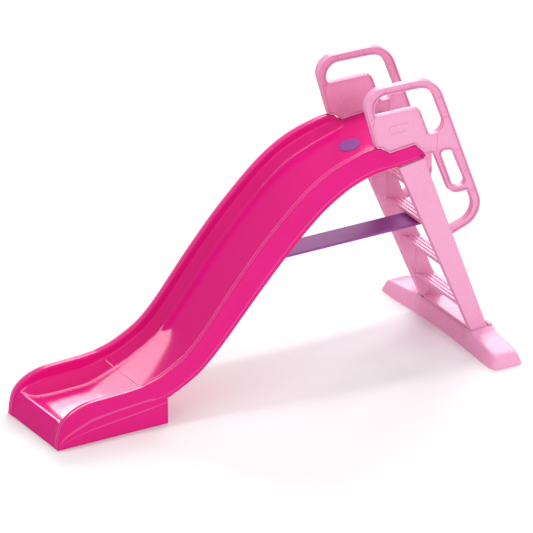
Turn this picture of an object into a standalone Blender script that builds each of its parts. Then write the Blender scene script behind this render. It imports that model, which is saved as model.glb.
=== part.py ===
"""Toddler slide: a two-piece open-backed chute, a one-piece ladder, two handrails, a foot bar and a brace.

X runs from the toe of the run-out to the ladder, Y across the slide, Z up from the ground.
Inside this file X starts at the toe; the parent empty moves it so that the origin is under the middle.
"""

import math

import bmesh
import bpy
import numpy as np
from mathutils import Matrix, Vector

# Overall and shared sizes, in metres
LENGTH = 1.868
WALL = 0.004
GAP = 0.0003

# Chute cross-section
SKIRT_HALF = 0.187
RIM_INNER_HALF = 0.157
RIM_ROUND = 0.005
FLOOR_HALF = 0.108
STATION_STEPS = 1

# Chute side view: (rim x, rim z, floor x, floor z, lower edge x, lower edge z) at each station
LOWER_STATIONS = [
    (0.000, 0.000, 0.000, 0.000, 0.000, 0.000),
    (0.004, 0.045, 0.016, 0.050, 0.014, 0.000),
    (0.016, 0.088, 0.036, 0.090, 0.030, 0.000),
    (0.040, 0.118, 0.056, 0.080, 0.054, 0.000),
    (0.070, 0.138, 0.085, 0.072, 0.084, 0.000),
    (0.108, 0.152, 0.118, 0.069, 0.120, 0.000),
    (0.150, 0.160, 0.155, 0.068, 0.165, 0.000),
    (0.230, 0.163, 0.235, 0.069, 0.260, 0.000),
    (0.300, 0.165, 0.312, 0.074, 0.360, 0.000),
    (0.365, 0.171, 0.416, 0.110, 0.468, 0.000),
]
UPPER_STATIONS = [
    (0.365, 0.171, 0.416, 0.110, 0.427, 0.098),
    (0.440, 0.192, 0.464, 0.128, 0.473, 0.105),
    (0.520, 0.232, 0.555, 0.176, 0.570, 0.153),
    (0.566, 0.265, 0.608, 0.216, 0.627, 0.193),
    (0.620, 0.319, 0.668, 0.279, 0.694, 0.257),
    (0.700, 0.416, 0.748, 0.377, 0.780, 0.352),
    (0.760, 0.489, 0.808, 0.450, 0.843, 0.421),
    (0.860, 0.602, 0.905, 0.559, 0.941, 0.526),
    (0.957, 0.698, 0.999, 0.653, 1.033, 0.617),
    (1.043, 0.775, 1.083, 0.727, 1.115, 0.689),
    (1.120, 0.829, 1.151, 0.775, 1.175, 0.731),
    (1.200, 0.868, 1.221, 0.805, 1.238, 0.766),
    (1.275, 0.890, 1.288, 0.829, 1.297, 0.789),
    (1.345, 0.904, 1.352, 0.848, 1.352, 0.804),
    (1.383, 0.897, 1.388, 0.857, 1.388, 0.808),
    (1.413, 0.873, 1.416, 0.861, 1.416, 0.811),
    (1.460, 0.877, 1.462, 0.863, 1.460, 0.814),
    (1.521, 0.881, 1.521, 0.864, 1.526, 0.822),
    (1.550, 0.851, 1.560, 0.860, 1.553, 0.827),
    (1.565, 0.837, 1.570, 0.835, 1.566, 0.828),
]
BLOCK_REAR_TOP = (0.468, 0.0995)
BLOCK_SEAM_FOOT = (0.427, 0.097)
SEAM_RIM = Vector((0.365, 0, 0.171))
SEAM_FLOOR = Vector((0.416, 0, 0.110))
SEAM_GAP = 0.0006

# Flanges under the seam
FLANGE_HALF_WIDTH = 0.104
FLANGE_DEPTH = 0.030
SEAM_BOLT_DEPTH = 0.018
SEAM_BOLT_Y = (-0.075, 0.0, 0.075)

# Brace and its saddle under the chute
BRACE_TOP = 0.490
BRACE_THICK = 0.010
BRACE_HALF_WIDTH = 0.054
BRACE_START = 0.903
BRACE_END = 1.655
SADDLE_X = (0.900, 0.960)
SADDLE_FLOOR_Z = (0.5503, 0.6103)
BRACE_SCREW_Y = 0.030
SADDLE_SCREW_X = 0.930
TREAD_SCREW_X = 1.640

# Hose port in the deck
PORT_POINT = Vector((1.352, 0, 0.8484))
PORT_TILT = math.radians(-15.0)
PORT_CAP_RADIUS = 0.0405
PORT_HOLE_RADIUS = 0.029
PORT_SEAT_RADIUS = 0.042
PORT_SEAT_THICK = 0.007
CAP_SKIRT = 0.012

# Ladder
STILE_OUTER = 0.193
STILE_INNER = 0.163
STILE_OUTLINE = [
    (1.4525, 0.8060),
    (1.5615, 0.8205),
    (1.8396, 0.0606),
    (1.8385, 0.0606),
    (1.8375, 0.0310),
    (1.7805, 0.0310),
    (1.7790, 0.0606),
    (1.7695, 0.0606),
]
STILE_POCKET = [(1.5060, 0.7300), (1.7200, 0.7300), (1.9500, 0.0900), (1.7615, 0.0900)]
REAR_LINE_X = 1.5860
REAR_LINE_Z = 0.7520
REAR_LINE_SLOPE = 0.368
TREAD_TOPS = (0.172, 0.342, 0.512, 0.682)
TREAD_DEPTH = 0.063
TREAD_PLATE = 0.005
TREAD_FRONT_LIP = 0.012
TREAD_REAR_LIP = 0.021
BAY_LEVELS = (0.002, 0.172, 0.342, 0.512)
BAY_FEET = (0.064, 0.169, 0.339, 0.509)
WEB_REACH = 0.028
WEB_THICK = 0.005
BOTTOM_RAIL_TOP = 0.070
BOTTOM_RAIL_X = (1.7705, 1.842)
TONGUE_X = (1.466, 1.546)
TONGUE_TOP = 0.846
TONGUE_Y = (0.164, 0.178)

# Handrails
RAIL_INNER = 0.160
RAIL_OUTER = 0.188
RAIL_WEB = 0.009
RAIL_FLANGE = 0.004
ARC_STEP = math.radians(20)
RAIL_OUTLINE = [
    (1.3600, 0.9062, 0.004),
    (1.2915, 1.1470, 0.064),
    (1.6130, 1.1400, 0.120),
    (1.8314, 0.5318, 0.088),
    (1.6865, 0.4815, 0.003),
    (1.6765, 0.5095, 0.003),
    (1.7937, 0.5460, 0.063),
    (1.7560, 0.6470, 0.006),
    (1.6790, 0.6465, 0.045),
    (1.6080, 0.8300, 0.006),
    (1.5745, 0.8300, 0.001),
    (1.5225, 0.8842, 0.004),
    (1.4140, 0.8745, 0.004),
    (1.3840, 0.8988, 0.003),
]
WINDOW_OUTLINE = [
    (1.3535, 1.0345, 0.014),
    (1.3303, 1.1145, 0.048),
    (1.5900, 1.1070, 0.085),
    (1.6640, 0.9113, 0.037),
    (1.5835, 0.9113, 0.012),
    (1.5397, 1.0312, 0.030),
]
OVAL_OUTLINE = [
    (1.6315, 0.8310, 0.012),
    (1.6870, 0.8290, 0.045),
    (1.7510, 0.6715, 0.016),
    (1.6890, 0.6715, 0.034),
]
PLATE_OUTLINE = [
    (1.3660, 0.9085, 0.004),
    (1.3440, 0.9850, 0.030),
    (1.3540, 1.0360, 0.012),
    (1.5400, 1.0330, 0.028),
    (1.5770, 0.9270, 0.030),
    (1.5560, 0.8565, 0.006),
    (1.5225, 0.8885, 0.004),
    (1.4150, 0.8785, 0.004),
    (1.3850, 0.9025, 0.003),
]
PLATE_THICK = 0.015
RAIL_TAB_X = (1.417, 1.445)
RAIL_TAB_Y = (0.1650, 0.1770)
RAIL_TAB_BOTTOM = 0.829
LUG_INNER = 0.1500
LUG_OUTER = 0.1627
LUG_OUTLINE = [
    (1.5755, 0.8620, 0.004),
    (1.6080, 0.8620, 0.008),
    (1.6110, 0.7600, 0.024),
    (1.5500, 0.7430, 0.014),
    (1.5420, 0.8130, 0.004),
    (1.5745, 0.8130, 0.001),
]
HOOK_TONGUE = [(1.6640, 0.5020), (1.6820, 0.5070), (1.6910, 0.4870), (1.6720, 0.4790)]
HOOK_TONGUE_Y = (0.1690, 0.1800)
RAIL_SCREW_Z = 0.8385
LADDER_SCREW_X = (1.484, 1.528)
LADDER_SCREW_Z = 0.836
LUG_SCREWS = ((1.5580, 0.7950), (1.5660, 0.7650))

# Foot bar: (y, front bottom x, front top x, rear top x, rear bottom x, top z) from the middle to the end
BAR_SECTIONS = [
    (0.000, 1.7470, 1.7730, 1.8560, 1.8680, 0.0597),
    (0.120, 1.7440, 1.7715, 1.8560, 1.8680, 0.0597),
    (0.140, 1.7430, 1.7710, 1.8560, 1.8680, 0.0597),
    (0.152, 1.7420, 1.7680, 1.8570, 1.8680, 0.0597),
    (0.168, 1.7410, 1.7620, 1.8600, 1.8680, 0.0690),
    (0.203, 1.7390, 1.7600, 1.8600, 1.8680, 0.0690),
    (0.214, 1.7380, 1.7590, 1.8580, 1.8680, 0.0640),
    (0.235, 1.7365, 1.7575, 1.8560, 1.8680, 0.0580),
    (0.265, 1.7345, 1.7550, 1.8550, 1.8680, 0.0535),
    (0.330, 1.7305, 1.7500, 1.8540, 1.8675, 0.0510),
    (0.385, 1.7300, 1.7460, 1.8500, 1.8650, 0.0450),
    (0.405, 1.7340, 1.7500, 1.8420, 1.8600, 0.0360),
    (0.417, 1.7440, 1.7600, 1.8300, 1.8480, 0.0000),
]
SOCKET_X = (1.7770, 1.8425)
SOCKET_Y = (0.1615, 0.1945)
SOCKET_FLOOR = 0.0262
MOUTH_X = (1.7656, 1.8432)
MOUTH_LEVELS = (0.0598, 0.0850)
MOUTH_INNER = 0.148
BASE_SCREW_X = (1.7950, 1.8230)
REAR_COLLAR = [
    (1.8440, 0.0520, 0.002),
    (1.8420, 0.0790, 0.004),
    (1.8560, 0.0790, 0.008),
    (1.8660, 0.0520, 0.002),
]

# Screws
SHANK = 0.0025
HOLE = 0.0030
HEAD = 0.0055
HEAD_TALL = 0.0030
NUT_RADIUS = 0.0060
NUT_TALL = 0.0050
BOSS = 0.0075
ROUND_SIDES = 12

# Linear colours
MAGENTA = (0.815, 0.022, 0.250)
PALE_PINK = (0.900, 0.440, 0.640)
PURPLE = (0.410, 0.150, 0.440)
STEEL = (0.560, 0.560, 0.570)


def start_scene():
    for old in list(bpy.data.objects):
        bpy.data.objects.remove(old, do_unlink=True)
    scene = bpy.context.scene
    parts = bpy.data.collections.new("toddler_slide")
    cutters = bpy.data.collections.new("cutters")
    scene.collection.children.link(parts)
    scene.collection.children.link(cutters)
    cutters.hide_render = True
    origin = bpy.data.objects.new("slide_origin", None)
    origin.location = (-LENGTH / 2, 0, 0)
    parts.objects.link(origin)
    return parts, cutters, origin


def plastic(name, colour, roughness, metallic=0.0):
    material = bpy.data.materials.new(name)
    material.use_nodes = True
    shader = material.node_tree.nodes["Principled BSDF"]
    shader.inputs["Base Color"].default_value = (*colour, 1)
    shader.inputs["Roughness"].default_value = roughness
    shader.inputs["Metallic"].default_value = metallic
    return material


PARTS, CUTTERS, ORIGIN = start_scene()
CHUTE_PLASTIC = plastic("magenta_plastic", MAGENTA, 0.22)
FRAME_PLASTIC = plastic("pale_pink_plastic", PALE_PINK, 0.32)
TRIM_PLASTIC = plastic("purple_plastic", PURPLE, 0.35)
SCREW_STEEL = plastic("zinc_steel", STEEL, 0.35, 1.0)


def place(name, mesh, material):
    """A visible part under the slide's origin, shaded smooth between its sharp edges."""
    part = bpy.data.objects.new(name, mesh)
    part.data.materials.append(material)
    part.data.shade_smooth()
    part.data.set_sharp_from_angle(angle=math.radians(35))
    part.parent = ORIGIN
    PARTS.objects.link(part)
    return part


def helper(name, mesh):
    """A hidden solid that another part adds or cuts."""
    solid = bpy.data.objects.new(name, mesh)
    solid.parent = ORIGIN
    solid.hide_render = True
    solid.display_type = "WIRE"
    CUTTERS.objects.link(solid)
    return solid


def mesh_from(bm, name):
    bmesh.ops.recalc_face_normals(bm, faces=bm.faces)
    mesh = bpy.data.meshes.new(name)
    bm.to_mesh(mesh)
    bm.free()
    return mesh


def combine(part, solids, operation, solver="EXACT"):
    for solid in solids:
        step = part.modifiers.new(operation.lower(), "BOOLEAN")
        step.operation = operation
        step.object = solid
        step.solver = solver


def box_mesh(name, low, high, turn=None):
    """A box between two corners, turned about its own centre by an optional matrix."""
    bm = bmesh.new()
    bmesh.ops.create_cube(bm, size=1)
    size = Vector(high) - Vector(low)
    centre = (Vector(high) + Vector(low)) / 2
    bmesh.ops.scale(bm, vec=size, verts=bm.verts)
    if turn:
        bmesh.ops.transform(bm, matrix=turn, verts=bm.verts)
    bmesh.ops.translate(bm, vec=centre, verts=bm.verts)
    return mesh_from(bm, name)


def rounded(corners):
    """The outline through (x, z, radius) corners, each corner replaced by an arc."""
    outline = []
    count = len(corners)
    for i, (x, z, radius) in enumerate(corners):
        corner = Vector((x, z))
        back = Vector(corners[i - 1][:2]) - corner
        ahead = Vector(corners[(i + 1) % count][:2]) - corner
        half = back.angle(ahead) / 2
        sweep = math.pi - 2 * half
        centre = corner + (back.normalized() + ahead.normalized()).normalized() * radius / math.sin(half)
        start = corner + back.normalized() * radius / math.tan(half) - centre
        sign = 1 if back.x * ahead.y - back.y * ahead.x < 0 else -1
        steps = max(1, round(sweep / ARC_STEP))
        for k in range(steps + 1):
            outline.append(centre + Matrix.Rotation(sign * sweep * k / steps, 2) @ start)
    return [(p.x, p.y) for p in outline]


def prism_mesh(name, outline, y_low, y_high):
    """A flat outline of (x, z) points carried from y_low to y_high."""
    bm = bmesh.new()
    face = bm.faces.new([bm.verts.new((x, y_low, z)) for x, z in outline])
    grown = bmesh.ops.extrude_face_region(bm, geom=[face])
    moved = [item for item in grown["geom"] if isinstance(item, bmesh.types.BMVert)]
    bmesh.ops.translate(bm, vec=(0, y_high - y_low, 0), verts=moved)
    return mesh_from(bm, name)


def cylinder_mesh(name, base, axis, radius, height, sides=ROUND_SIDES):
    """A cylinder that starts at base and runs along axis."""
    bm = bmesh.new()
    turn = Vector((0, 0, 1)).rotation_difference(Vector(axis)).to_matrix().to_4x4()
    shift = Matrix.Translation(Vector(base)) @ turn @ Matrix.Translation((0, 0, height / 2))
    bmesh.ops.create_cone(
        bm, cap_ends=True, segments=sides, radius1=radius, radius2=radius, depth=height, matrix=shift
    )
    return mesh_from(bm, name)


def turned(name, profile, material, sides=ROUND_SIDES, closed=False):
    """A turned solid about its own Z axis; the profile is (radius, z), top to bottom outside."""
    mesh = bpy.data.meshes.new(name)
    edges = [(i, i + 1) for i in range(len(profile) - 1)]
    if closed:
        edges.append((len(profile) - 1, 0))
    mesh.from_pydata([(r, 0, z) for r, z in profile], edges, [])
    part = place(name, mesh, material)
    spin = part.modifiers.new("turn", "SCREW")
    spin.steps = sides
    spin.render_steps = sides
    spin.use_merge_vertices = True
    spin.merge_threshold = 0.00001
    return part


def aim(part, base, axis):
    """Puts a turned part's origin at base and its Z axis along axis."""
    part.location = base
    part.rotation_mode = "QUATERNION"
    part.rotation_quaternion = Vector((0, 0, 1)).rotation_difference(Vector(axis))


def screw(name, seat, axis, length):
    """A pan-head screw: the head sits on the seat and the shank runs along axis."""
    profile = [(0, length), (SHANK, length), (SHANK, 0), (HEAD, 0), (HEAD, -HEAD_TALL), (0, -HEAD_TALL)]
    part = turned(name, profile, SCREW_STEEL)
    aim(part, seat, axis)


def nut(name, seat, axis):
    profile = [(HOLE, NUT_TALL), (NUT_RADIUS, NUT_TALL), (NUT_RADIUS, 0), (HOLE, 0)]
    part = turned(name, profile, SCREW_STEEL, 6, True)
    aim(part, seat, axis)


def smooth_stations(stations):
    """Stations on a smooth curve through the given ones."""
    table = np.array(stations)
    first = 2 * table[0] - table[1]
    last = 2 * table[-1] - table[-2]
    table = np.vstack([first, table, last])
    result = []
    for i in range(1, len(table) - 2):
        a, b, c, d = table[i - 1 : i + 3]
        for k in range(STATION_STEPS):
            t = k / STATION_STEPS
            cubic = -a + 3 * b - 3 * c + d
            square = 2 * a - 5 * b + 4 * c - d
            result.append(0.5 * (2 * b + (c - a) * t + square * t**2 + cubic * t**3))
    result.append(table[-2])
    return result


def between(start, end, distance):
    """The point that lies a distance along the line from start to end."""
    run = end - start
    length = np.linalg.norm(run)
    return start + run * min(1, distance / length) if length > 1e-6 else start


def half_section(station, side_points):
    """(x, y, z) points from the lower outer edge over the rim to the middle of the floor."""
    rim, floor, skirt = station[0:2], station[2:4], station[4:6]
    rows = [(point, SKIRT_HALF) for point in side_points]
    rows += [
        (between(rim, skirt, RIM_ROUND), SKIRT_HALF),
        (rim, SKIRT_HALF - RIM_ROUND),
        (rim, RIM_INNER_HALF + RIM_ROUND),
        (between(rim, floor, RIM_ROUND), RIM_INNER_HALF),
        (rim + 0.45 * (floor - rim), RIM_INNER_HALF - 0.006),
        (rim + 0.88 * (floor - rim), FLOOR_HALF + 0.020),
        (floor, FLOOR_HALF),
        (floor, 0.0),
    ]
    return [(p[0], y, p[1]) for p, y in rows]


def chute_mesh(name, stations, side_fractions, last_side=None, rear_wall=False):
    """The open top skin of a chute section, ready for Solidify."""
    bm = bmesh.new()
    grid = []
    for number, station in enumerate(stations):
        rim, skirt = station[0:2], station[4:6]
        side = [rim + f * (skirt - rim) for f in side_fractions]
        if last_side and number == len(stations) - 1:
            side = [np.array(p) for p in last_side]
        half = half_section(station, side)
        full = [(x, -y, z) for x, y, z in half] + half[-2::-1]
        grid.append([bm.verts.new(p) for p in full])
    for row, above in zip(grid, grid[1:]):
        for j in range(len(row) - 1):
            bm.faces.new((row[j], above[j], above[j + 1], row[j + 1]))
    if rear_wall:
        end = grid[-1]
        bm.faces.new((end[1], end[0], end[-1], end[-2]))
    bmesh.ops.remove_doubles(bm, verts=bm.verts, dist=0.00005)
    mesh = bpy.data.meshes.new(name)
    bm.to_mesh(mesh)
    bm.free()
    return mesh


def shell(name, mesh, material):
    part = place(name, mesh, material)
    thick = part.modifiers.new("wall", "SOLIDIFY")
    thick.thickness = WALL
    thick.offset = -1
    thick.use_even_offset = True
    return part


def seam_frame():
    """Directions of the seam: down its plane and across it towards the ladder."""
    down = (SEAM_FLOOR - SEAM_RIM).normalized()
    across = Vector((-down.z, 0, down.x))
    return down, across


def seam_flange(name, side):
    """A bolting flange under the floor on one side of the seam (-1 run-out, +1 deck)."""
    down, across = seam_frame()
    near = SEAM_FLOOR + down * 0.002
    far = SEAM_FLOOR + down * FLANGE_DEPTH
    inner = across * (-0.001 if side > 0 else 0.0)
    outer = across * (WALL + SEAM_GAP if side > 0 else -WALL)
    corners = [near + inner, far + inner, far + outer, near + outer]
    outline = [(p.x, p.z) for p in corners]
    return helper(name, prism_mesh(name, outline, -FLANGE_HALF_WIDTH, FLANGE_HALF_WIDTH))


def seam_trim():
    """Clears the upper section off the run-out's side of the seam."""
    down, across = seam_frame()
    top = SEAM_RIM - down * 0.020
    foot = SEAM_FLOOR + down * (FLANGE_DEPTH + 0.010)
    corners = [top + across * SEAM_GAP, foot + across * SEAM_GAP, foot - across * 0.020, top - across * 0.020]
    outline = [(p.x, p.z) for p in corners]
    return helper("seam_trim", prism_mesh("seam_trim", outline, -SKIRT_HALF - 0.010, SKIRT_HALF + 0.010))


def seam_holes(name):
    down, across = seam_frame()
    holes = []
    for i, y in enumerate(SEAM_BOLT_Y):
        base = SEAM_FLOOR + down * SEAM_BOLT_DEPTH - across * 0.010 + Vector((0, y, 0))
        mesh = cylinder_mesh(f"{name}_{i}", base, across, HOLE, 0.020)
        holes.append(helper(f"{name}_{i}", mesh))
    return holes


def seam_bolts():
    down, across = seam_frame()
    for i, y in enumerate(SEAM_BOLT_Y, 1):
        middle = SEAM_FLOOR + down * SEAM_BOLT_DEPTH + Vector((0, y, 0))
        screw(f"seam_bolt_{i}", middle - across * (WALL + GAP), across, 0.018)
        nut(f"seam_nut_{i}", middle + across * (SEAM_GAP + WALL + GAP), across)


def chute_lower():
    stations = smooth_stations(LOWER_STATIONS)
    end = (LOWER_STATIONS[-1][4:6], BLOCK_REAR_TOP, BLOCK_SEAM_FOOT)
    mesh = chute_mesh("chute_lower", stations, (1.0, 0.62, 0.55), end, True)
    part = shell("chute_lower", mesh, CHUTE_PLASTIC)
    combine(part, [seam_flange("lower_flange", -1)], "UNION")
    ground = box_mesh("ground", (-0.010, -0.200, -0.020), (0.480, 0.200, 0.0))
    combine(part, [helper("ground", ground)], "DIFFERENCE")
    combine(part, seam_holes("lower_flange_hole"), "DIFFERENCE")


def saddle():
    """Two webs and a pad that hold the brace under the chute floor."""
    low = BRACE_TOP + GAP
    x0, x1 = SADDLE_X
    foot = low + WALL / 2
    web = [(x0, foot), (x1, foot), (x1, SADDLE_FLOOR_Z[1]), (x0, SADDLE_FLOOR_Z[0])]
    solids = []
    for side in (-1, 1):
        edges = sorted((side * (BRACE_HALF_WIDTH - WALL), side * BRACE_HALF_WIDTH))
        name = f"saddle_web_{'left' if side < 0 else 'right'}"
        solids.append(helper(name, prism_mesh(name, web, *edges)))
    reach = BRACE_HALF_WIDTH + 0.002
    pad = box_mesh("saddle_pad", (x0 - 0.002, -reach, low), (x1 + 0.002, reach, low + WALL))
    solids.append(helper("saddle_pad", pad))
    return solids


def skirt_boss(name, x, y_start, z, side):
    """A short screw boss on the inside of the skirt."""
    base = (x, side * y_start, z)
    mesh = cylinder_mesh(name, base, (0, side, 0), BOSS, SKIRT_HALF - 0.001 - y_start)
    return helper(name, mesh)


def chute_upper():
    stations = smooth_stations(UPPER_STATIONS)
    mesh = chute_mesh("chute_upper", stations, (1.0,))
    part = shell("chute_upper", mesh, CHUTE_PLASTIC)
    normal = port_axis()
    base = PORT_POINT - normal * PORT_SEAT_THICK
    seat = cylinder_mesh("port_seat", base, normal, PORT_SEAT_RADIUS, PORT_SEAT_THICK, 32)
    combine(part, [seam_flange("upper_flange", 1)], "UNION")
    combine(part, [seam_trim()], "DIFFERENCE")
    solids = [helper("port_seat", seat), *saddle()]
    cuts = seam_holes("upper_flange_hole")
    bore = cylinder_mesh("port_bore", PORT_POINT - normal * 0.030, normal, PORT_HOLE_RADIUS, 0.050, 32)
    cuts.append(helper("port_bore", bore))
    for side in (-1, 1):
        word = "left" if side < 0 else "right"
        tab_x = sum(RAIL_TAB_X) / 2
        solids.append(skirt_boss(f"rail_boss_{word}", tab_x, RAIL_TAB_Y[1] + GAP, RAIL_SCREW_Z, side))
        cuts.append(y_hole(f"rail_boss_hole_{word}", tab_x, RAIL_SCREW_Z, 0.150, 0.1855, side))
        slot = box_mesh(
            f"rail_slot_{word}",
            (RAIL_TAB_X[0] - GAP, min(side * 0.1645, side * 0.1775), 0.860),
            (RAIL_TAB_X[1] + GAP, max(side * 0.1645, side * 0.1775), 0.900),
        )
        cuts.append(helper(f"rail_slot_{word}", slot))
        for i, x in enumerate(LADDER_SCREW_X, 1):
            solids.append(skirt_boss(f"ladder_boss_{word}_{i}", x, TONGUE_Y[1] + GAP, LADDER_SCREW_Z, side))
            cuts.append(y_hole(f"ladder_boss_hole_{word}_{i}", x, LADDER_SCREW_Z, 0.150, 0.1855, side))
        cuts.append(z_hole(f"saddle_hole_{word}", SADDLE_SCREW_X, side * BRACE_SCREW_Y, 0.485, 0.500))
    combine(part, solids, "UNION")
    combine(part, cuts, "DIFFERENCE")


def y_hole(name, x, z, y_start, y_end, side):
    mesh = cylinder_mesh(name, (x, side * y_start, z), (0, side, 0), HOLE, y_end - y_start)
    return helper(name, mesh)


def z_hole(name, x, y, z_start, z_end):
    mesh = cylinder_mesh(name, (x, y, z_start), (0, 0, 1), HOLE, z_end - z_start)
    return helper(name, mesh)


def port_axis():
    return Vector((math.sin(PORT_TILT), 0, math.cos(PORT_TILT)))


def port_pieces():
    """The cap on the deck and the hose socket under it."""
    normal = port_axis()
    radius = PORT_CAP_RADIUS
    skirt = PORT_HOLE_RADIUS - 0.001
    cap_profile = [
        (0, 0.0040),
        (radius * 0.80, 0.0036),
        (radius * 0.97, 0.0024),
        (radius, 0.0006),
        (radius, 0.0),
        (skirt, 0.0),
        (skirt, -CAP_SKIRT),
        (skirt - 0.003, -CAP_SKIRT),
        (skirt - 0.003, 0.0),
        (0, 0.0),
    ]
    cap = turned("port_cap", cap_profile, TRIM_PLASTIC, 32)
    aim(cap, PORT_POINT + normal * GAP, normal)
    socket_profile = [
        (0.0300, -GAP),
        (0.0400, -GAP),
        (0.0400, -0.004),
        (0.0340, -0.006),
        (0.0340, -0.022),
        (0.0090, -0.026),
        (0.0090, -0.055),
        (0.0060, -0.055),
        (0.0060, -0.022),
        (0.0300, -0.018),
    ]
    socket = turned("hose_socket", socket_profile, TRIM_PLASTIC, 24, True)
    aim(socket, PORT_POINT - normal * PORT_SEAT_THICK, normal)


def rear_line(z):
    """X of the stiles' rear edge at a height."""
    return REAR_LINE_X + REAR_LINE_SLOPE * (REAR_LINE_Z - z)


def tread_outline(top):
    rear = rear_line(top) - 0.001
    front = rear - TREAD_DEPTH
    inner = top - TREAD_PLATE
    return [
        (front, top),
        (rear, top),
        (rear, top - TREAD_REAR_LIP),
        (rear - WALL, top - TREAD_REAR_LIP),
        (rear - WALL, inner),
        (front + WALL, inner),
        (front + WALL, top - TREAD_FRONT_LIP),
        (front, top - TREAD_FRONT_LIP),
    ]


def web_mesh(name, bay, side):
    """A slanting web from a stile's inner face to the rear edge of the opening between two treads."""
    crease = rear_line(BAY_LEVELS[bay]) - 0.004 - TREAD_DEPTH
    wall = side * (STILE_INNER + 0.002)
    edge = side * (STILE_INNER - WEB_REACH)
    bm = bmesh.new()
    rings = []
    for z in (BAY_FEET[bay], TREAD_TOPS[bay] - TREAD_FRONT_LIP + 0.001):
        rear = rear_line(z) - 0.003
        outline = [(crease, wall), (rear, edge), (rear, edge + side * WEB_THICK), (crease + 0.003, wall)]
        rings.append([bm.verts.new((x, y, z)) for x, y in outline])
    (a, b, c, d), (e, f, g, h) = rings
    for corners in ((a, b, c, d), (e, h, g, f), (b, f, g, c), (a, d, h, e)):
        bm.faces.new(corners)
    for corners in ((a, e, b), (b, e, f), (c, g, h), (c, h, d)):
        bm.faces.new(corners)
    return mesh_from(bm, name)


def ladder():
    """Stiles, treads and bottom rail in one moulding."""
    cores = []
    cuts = []
    for side in (-1, 1):
        word = "left" if side < 0 else "right"
        faces = sorted((side * STILE_INNER, side * STILE_OUTER))
        cores.append(("stile_" + word, prism_mesh("stile_" + word, STILE_OUTLINE, *faces)))
        inside = sorted((side * (STILE_INNER + WALL), side * (STILE_OUTER - WALL)))
        cuts.append(helper("pocket_" + word, prism_mesh("pocket_" + word, STILE_POCKET, *inside)))
        tongue = sorted((side * TONGUE_Y[0], side * TONGUE_Y[1]))
        low = (TONGUE_X[0], tongue[0], 0.780)
        high = (TONGUE_X[1], tongue[1], TONGUE_TOP)
        cores.append(("tongue_" + word, box_mesh("tongue_" + word, low, high)))
        for bay in range(len(TREAD_TOPS)):
            name = f"web_{word}_{bay + 1}"
            cores.append((name, web_mesh(name, bay, side)))
        for i, x in enumerate(LADDER_SCREW_X, 1):
            cuts.append(y_hole(f"tongue_hole_{word}_{i}", x, LADDER_SCREW_Z, 0.150, 0.186, side))
        for i, (x, z) in enumerate(LUG_SCREWS, 1):
            cuts.append(y_hole(f"lug_pilot_{word}_{i}", x, z, 0.160, 0.1815, side))
        for i, x in enumerate(BASE_SCREW_X, 1):
            middle = side * (STILE_INNER + STILE_OUTER) / 2
            cuts.append(z_hole(f"foot_pilot_{word}_{i}", x, middle, 0.020, 0.0505))
        boss = cylinder_mesh(
            f"brace_boss_{word}", (TREAD_SCREW_X, side * BRACE_SCREW_Y, BRACE_TOP + GAP), (0, 0, 1), BOSS, 0.019
        )
        cores.append((f"brace_boss_{word}", boss))
        cuts.append(z_hole(f"brace_pilot_{word}", TREAD_SCREW_X, side * BRACE_SCREW_Y, 0.480, 0.5085))
    for i, top in enumerate(TREAD_TOPS, 1):
        reach = STILE_INNER + 0.002
        cores.append((f"tread_{i}", prism_mesh(f"tread_{i}", tread_outline(top), -reach, reach)))
    reach = STILE_INNER + 0.002
    low = (BOTTOM_RAIL_X[0], -reach, 0.0602)
    high = (BOTTOM_RAIL_X[1], reach, BOTTOM_RAIL_TOP)
    cores.append(("bottom_rail", box_mesh("bottom_rail", low, high)))
    name, mesh = cores[0]
    part = place("ladder", mesh, FRAME_PLASTIC)
    treads = [core for core in cores[1:] if core[0].startswith("tread")]
    rest = [core for core in cores[1:] if not core[0].startswith("tread")]
    combine(part, [helper(*core) for core in treads + rest], "UNION")
    combine(part, cuts, "DIFFERENCE")


def inset(corners, distance):
    """The rounded corners of an outline moved inward (or outward when negative); corners run clockwise."""
    count = len(corners)
    moved = []
    for i, (x, z, radius) in enumerate(corners):
        corner = Vector((x, z))
        along_in = (corner - Vector(corners[i - 1][:2])).normalized()
        along_out = (Vector(corners[(i + 1) % count][:2]) - corner).normalized()
        normal_in = Vector((along_in.y, -along_in.x))
        normal_out = Vector((along_out.y, -along_out.x))
        bisector = (normal_in + normal_out).normalized()
        point = corner + bisector * distance / bisector.dot(normal_out)
        hollow = along_in.x * along_out.y - along_in.y * along_out.x > 0
        moved.append((point.x, point.y, max(0.0005, radius + (distance if hollow else -distance))))
    return moved


def mirrored(mesh, side):
    """The mesh itself for the right side, or its copy across the middle plane for the left."""
    if side < 0:
        bm = bmesh.new()
        bm.from_mesh(mesh)
        bmesh.ops.scale(bm, vec=(1, -1, 1), verts=bm.verts)
        bmesh.ops.reverse_faces(bm, faces=bm.faces)
        bm.to_mesh(mesh)
        bm.free()
    return mesh


def pocket(name, inset_by, low_y, high_y, side, extra):
    """The recess between the edge flanges, clear of the flanges round the window and the oval."""
    area = prism_mesh(name, rounded(inset(RAIL_OUTLINE, inset_by)), low_y, high_y)
    recess = helper(name, mirrored(area, side))
    kept = [("window", inset(WINDOW_OUTLINE, -inset_by)), ("oval", inset(OVAL_OUTLINE, -inset_by)), *extra]
    islands = []
    for title, outline in kept:
        island = prism_mesh(f"{name}_{title}", rounded(outline), low_y - 0.010, high_y + 0.010)
        islands.append(helper(f"{name}_{title}", mirrored(island, side)))
    combine(recess, islands, "DIFFERENCE", "MANIFOLD")
    return recess


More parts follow.
